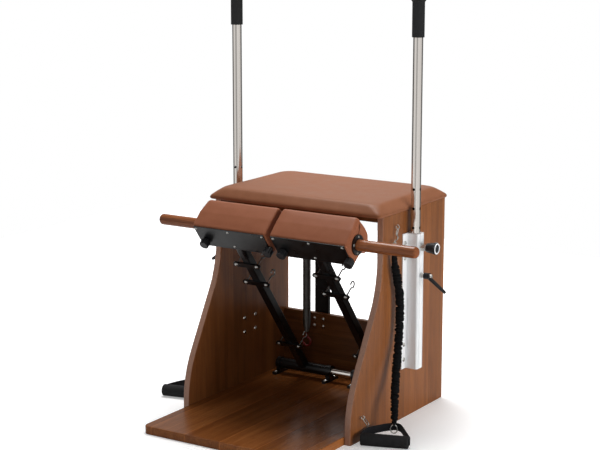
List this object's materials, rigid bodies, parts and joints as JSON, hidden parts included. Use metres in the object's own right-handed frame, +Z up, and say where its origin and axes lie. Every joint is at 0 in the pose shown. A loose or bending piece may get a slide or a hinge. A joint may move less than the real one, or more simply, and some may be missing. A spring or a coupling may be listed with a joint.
{
  "type": "pilates_chair",
  "caption": "Split-pedal pilates chair: wooden frame with an upholstered seat, hinged padded pedals with spring hooks, sliding hand poles and stretch cords with foam grips.",
  "frame": {"origin": "middle of the frame's footprint on the floor, on the underside of the base board", "axes": "+Z up, -Y towards the front where the pedals are, +X towards the right hand side seen from the front"},
  "size_m": [0.8844, 0.762, 1.2385],
  "materials": {
    "walnut_wood": "satin varnish over vertical grain",
    "dowel_wood": "reddish gloss varnish",
    "brown_leatherette": "soft satin leatherette",
    "black_steel": "satin black powder coat",
    "chrome_steel": "polished chrome",
    "bright_steel": "bright zinc plate",
    "spring_steel": "drawn spring wire",
    "bright_aluminium": "bright anodised extrusion",
    "black_plastic": "fine-grained moulding",
    "black_rubber": "soft moulded rubber",
    "black_foam": "closed-cell foam",
    "black_webbing": "woven webbing",
    "cord_sleeve": "gathered woven sleeve",
    "nylon": "plain nylon",
    "red_coating": "dipped coating"
  },
  "bodies": {
    "frame": {"side_panel_left": "walnut_wood", "side_panel_right": "walnut_wood", "base_board": "walnut_wood", "back_panel": "walnut_wood", "seat_board": "walnut_wood", "seat_cushion": "brown_leatherette", "pivot_axle": "chrome_steel", "axle_brackets": "black_steel", "frame_bolts": "bright_steel", "spring_post_left": "black_steel", "spring_post_right": "black_steel", "hanger_pins": "bright_steel", "handle_housing_left": "bright_aluminium", "handle_housing_right": "bright_aluminium", "housing_bolts": "bright_steel", "plunger_nuts": "bright_steel", "cord_eyes": "bright_steel", "cord_clips": "bright_steel", "cord_left": "cord_sleeve", "cord_right": "cord_sleeve", "cord_rings": "bright_steel", "cord_strap_left": "black_webbing", "cord_strap_right": "black_webbing", "cord_handle_left": "black_foam", "cord_handle_right": "black_foam"},
    "pedal_left": {"pedal_arm_left": "black_steel", "pivot_bushes_left": "nylon", "hook_bars_left": "black_steel", "spring_hooks_left": "bright_steel", "pedal_tray_left": "black_steel", "pedal_pad_left": "brown_leatherette", "handle_flange_left": "black_steel", "pedal_screws_left": "bright_steel"},
    "dowel_left": {"dowel_handle_left": "dowel_wood"},
    "knob_inner_left": {"tray_knob_inner_left": "black_plastic"},
    "knob_outer_left": {"tray_knob_outer_left": "black_plastic"},
    "pole_left": {"handle_pole_left": "chrome_steel", "pole_grip_left": "black_rubber"},
    "plunger_left": {"plunger_knob_left": "black_plastic"},
    "lever_left": {"clamp_lever_left": "black_plastic"},
    "spring_left": {"spring_coils_left": "spring_steel", "spring_ring_left": "red_coating"},
    "pedal_right": {"pedal_arm_right": "black_steel", "pivot_bushes_right": "nylon", "hook_bars_right": "black_steel", "spring_hooks_right": "bright_steel", "pedal_tray_right": "black_steel", "pedal_pad_right": "brown_leatherette", "handle_flange_right": "black_steel", "pedal_screws_right": "bright_steel"},
    "dowel_right": {"dowel_handle_right": "dowel_wood"},
    "knob_inner_right": {"tray_knob_inner_right": "black_plastic"},
    "knob_outer_right": {"tray_knob_outer_right": "black_plastic"},
    "pole_right": {"handle_pole_right": "chrome_steel", "pole_grip_right": "black_rubber"},
    "plunger_right": {"plunger_knob_right": "black_plastic"},
    "lever_right": {"clamp_lever_right": "black_plastic"},
    "spring_right": {"spring_coils_right": "spring_steel", "spring_ring_right": "red_coating"}
  },
  "joints": [
    {"name": "pedal_left_swing", "type": "hinge", "parent": "frame", "child": "pedal_left", "pos_m": [-0.135, 0.268, 0.054], "axis": [1, 0, 0], "range_deg": [0, 46]},
    {"name": "dowel_left_slide", "type": "slide", "parent": "pedal_left", "child": "dowel_left", "axis": [-1, 0, 0], "range_m": [-0.08, 0.05]},
    {"name": "knob_inner_left_turn", "type": "hinge", "parent": "pedal_left", "child": "knob_inner_left", "pos_m": [-0.0095, -0.11024, 0.51002], "axis": [0, -0.7944, -0.6074], "continuous": true},
    {"name": "knob_outer_left_turn", "type": "hinge", "parent": "pedal_left", "child": "knob_outer_left", "pos_m": [-0.2265, -0.11024, 0.51002], "axis": [0, -0.7944, -0.6074], "continuous": true},
    {"name": "pole_left_slide", "type": "slide", "parent": "frame", "child": "pole_left", "axis": [0, 0, 1], "range_m": [-0.165, 0.11]},
    {"name": "plunger_left_pull", "type": "slide", "parent": "frame", "child": "plunger_left", "axis": [-1, 0, 0], "range_m": [0, 0.008], "stiffness_N_per_m": 800},
    {"name": "lever_left_turn", "type": "hinge", "parent": "frame", "child": "lever_left", "pos_m": [-0.325, 0.1593, 0.424], "axis": [1, 0, 0], "range_deg": [-90, 90]},
    {"name": "spring_left_swing", "type": "hinge", "parent": "frame", "child": "spring_left", "pos_m": [-0.135, 0.279, 0.568], "axis": [1, 0, 0], "range_deg": [-5, 5]},
    {"name": "pedal_right_swing", "type": "hinge", "parent": "frame", "child": "pedal_right", "pos_m": [0.135, 0.268, 0.054], "axis": [1, 0, 0], "range_deg": [0, 46]},
    {"name": "dowel_right_slide", "type": "slide", "parent": "pedal_right", "child": "dowel_right", "axis": [1, 0, 0], "range_m": [-0.11, 0.02]},
    {"name": "knob_inner_right_turn", "type": "hinge", "parent": "pedal_right", "child": "knob_inner_right", "pos_m": [0.0365, -0.11024, 0.51002], "axis": [0, -0.7944, -0.6074], "continuous": true},
    {"name": "knob_outer_right_turn", "type": "hinge", "parent": "pedal_right", "child": "knob_outer_right", "pos_m": [0.2535, -0.11024, 0.51002], "axis": [0, -0.7944, -0.6074], "continuous": true},
    {"name": "pole_right_slide", "type": "slide", "parent": "frame", "child": "pole_right", "axis": [0, 0, 1], "range_m": [-0.165, 0.11]},
    {"name": "plunger_right_pull", "type": "slide", "parent": "frame", "child": "plunger_right", "axis": [1, 0, 0], "range_m": [0, 0.008], "stiffness_N_per_m": 800},
    {"name": "lever_right_turn", "type": "hinge", "parent": "frame", "child": "lever_right", "pos_m": [0.325, 0.1593, 0.424], "axis": [1, 0, 0], "range_deg": [-90, 90]},
    {"name": "spring_right_swing", "type": "hinge", "parent": "frame", "child": "spring_right", "pos_m": [0.135, 0.279, 0.568], "axis": [1, 0, 0], "range_deg": [-5, 5]}
  ]
}
